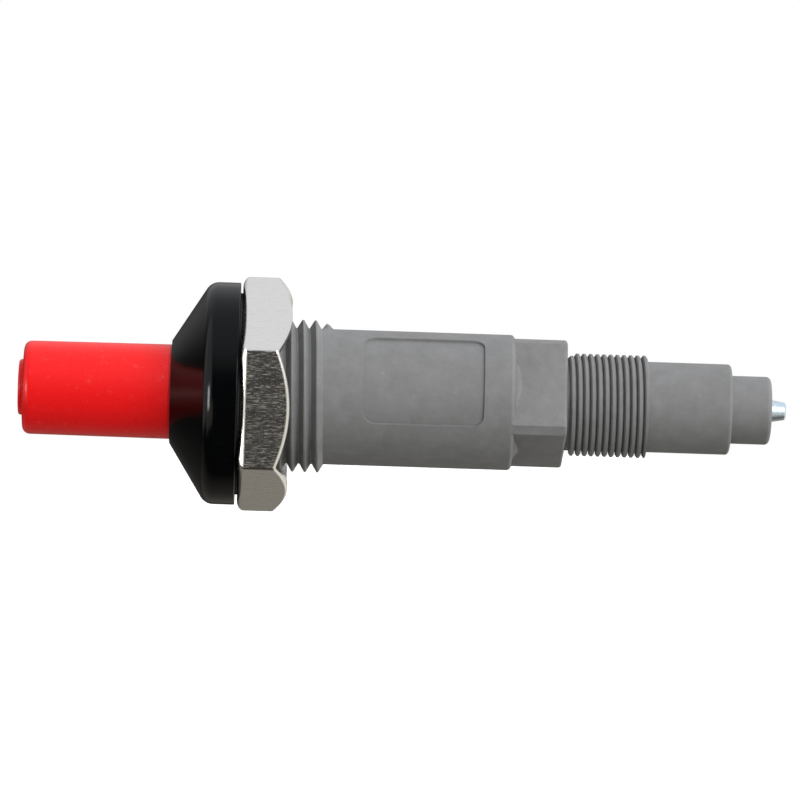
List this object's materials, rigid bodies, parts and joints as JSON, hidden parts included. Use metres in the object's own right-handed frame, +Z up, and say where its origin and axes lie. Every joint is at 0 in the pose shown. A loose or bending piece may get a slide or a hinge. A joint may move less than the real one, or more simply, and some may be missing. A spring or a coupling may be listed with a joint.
{
  "type": "push-button piezo igniter",
  "caption": "Panel-mount piezo igniter with a push button, conical bezel, hexagon nut, threaded barrel and rear output pin.",
  "frame": {"origin": "on the igniter's axis at the back face of the bezel, where it seats on the panel", "axes": "+X along the axis towards the output pin, the button points to -X, +Z up as pictured"},
  "size_m": [0.113, 0.0328, 0.0346],
  "materials": {
    "grey_moulding": "satin",
    "black_gloss": "gloss",
    "red_moulding": "gloss",
    "nickel_sheet": "satin",
    "black_rubber": "matte",
    "zinc_steel": "satin",
    "spring_steel": "satin",
    "turned_steel": "satin",
    "copper": "satin",
    "brass_sheet": "satin",
    "white_insulation": "satin",
    "natural_moulding": "satin",
    "piezo_ceramic": "matte"
  },
  "bodies": {
    "housing": {"housing": "grey_moulding", "bezel": "black_gloss", "terminal_pin": "zinc_steel", "impact_spring": "spring_steel", "return_spring": "spring_steel", "reset_spring": "spring_steel", "latch_spring": "spring_steel", "hammer_guide": "natural_moulding", "anvil": "turned_steel", "cushion_ring": "black_rubber", "front_contact_disc": "copper", "middle_contact_disc": "copper", "rear_contact_disc": "copper", "piezo_front": "piezo_ceramic", "piezo_rear": "piezo_ceramic", "insulating_sleeve": "white_insulation", "back_electrode": "turned_steel", "earth_strip": "brass_sheet"},
    "button": {"push_button": "red_moulding", "spring_seat": "spring_steel"},
    "hammer": {"hammer": "turned_steel"},
    "washer": {"panel_washer": "black_rubber"},
    "nut": {"mounting_nut": "nickel_sheet"}
  },
  "joints": [
    {"name": "button_press", "type": "slide", "parent": "housing", "child": "button", "axis": [1, 0, 0], "range_m": [0, 0.0105], "stiffness_N_per_m": 2600, "springref_m": -0.003, "deforming": ["return_spring", "impact_spring", "latch_spring"]},
    {"name": "hammer_strike", "type": "slide", "parent": "housing", "child": "hammer", "axis": [1, 0, 0], "range_m": [0, 0.008], "stiffness_N_per_m": 120, "springref_m": -0.004, "deforming": ["reset_spring", "impact_spring", "latch_spring"]},
    {"name": "nut_travel", "type": "slide", "parent": "housing", "child": "washer", "axis": [1, 0, 0], "range_m": [0, 0.0092]},
    {"name": "nut_turn", "type": "hinge", "parent": "washer", "child": "nut", "pos_m": [0, 0, 0], "axis": [1, 0, 0], "range_deg": [0, 1800]}
  ],
  "couplings": [
    {"joint": "nut_travel", "follows": "nut_turn", "m_per_rad": 0.00029285}
  ]
}
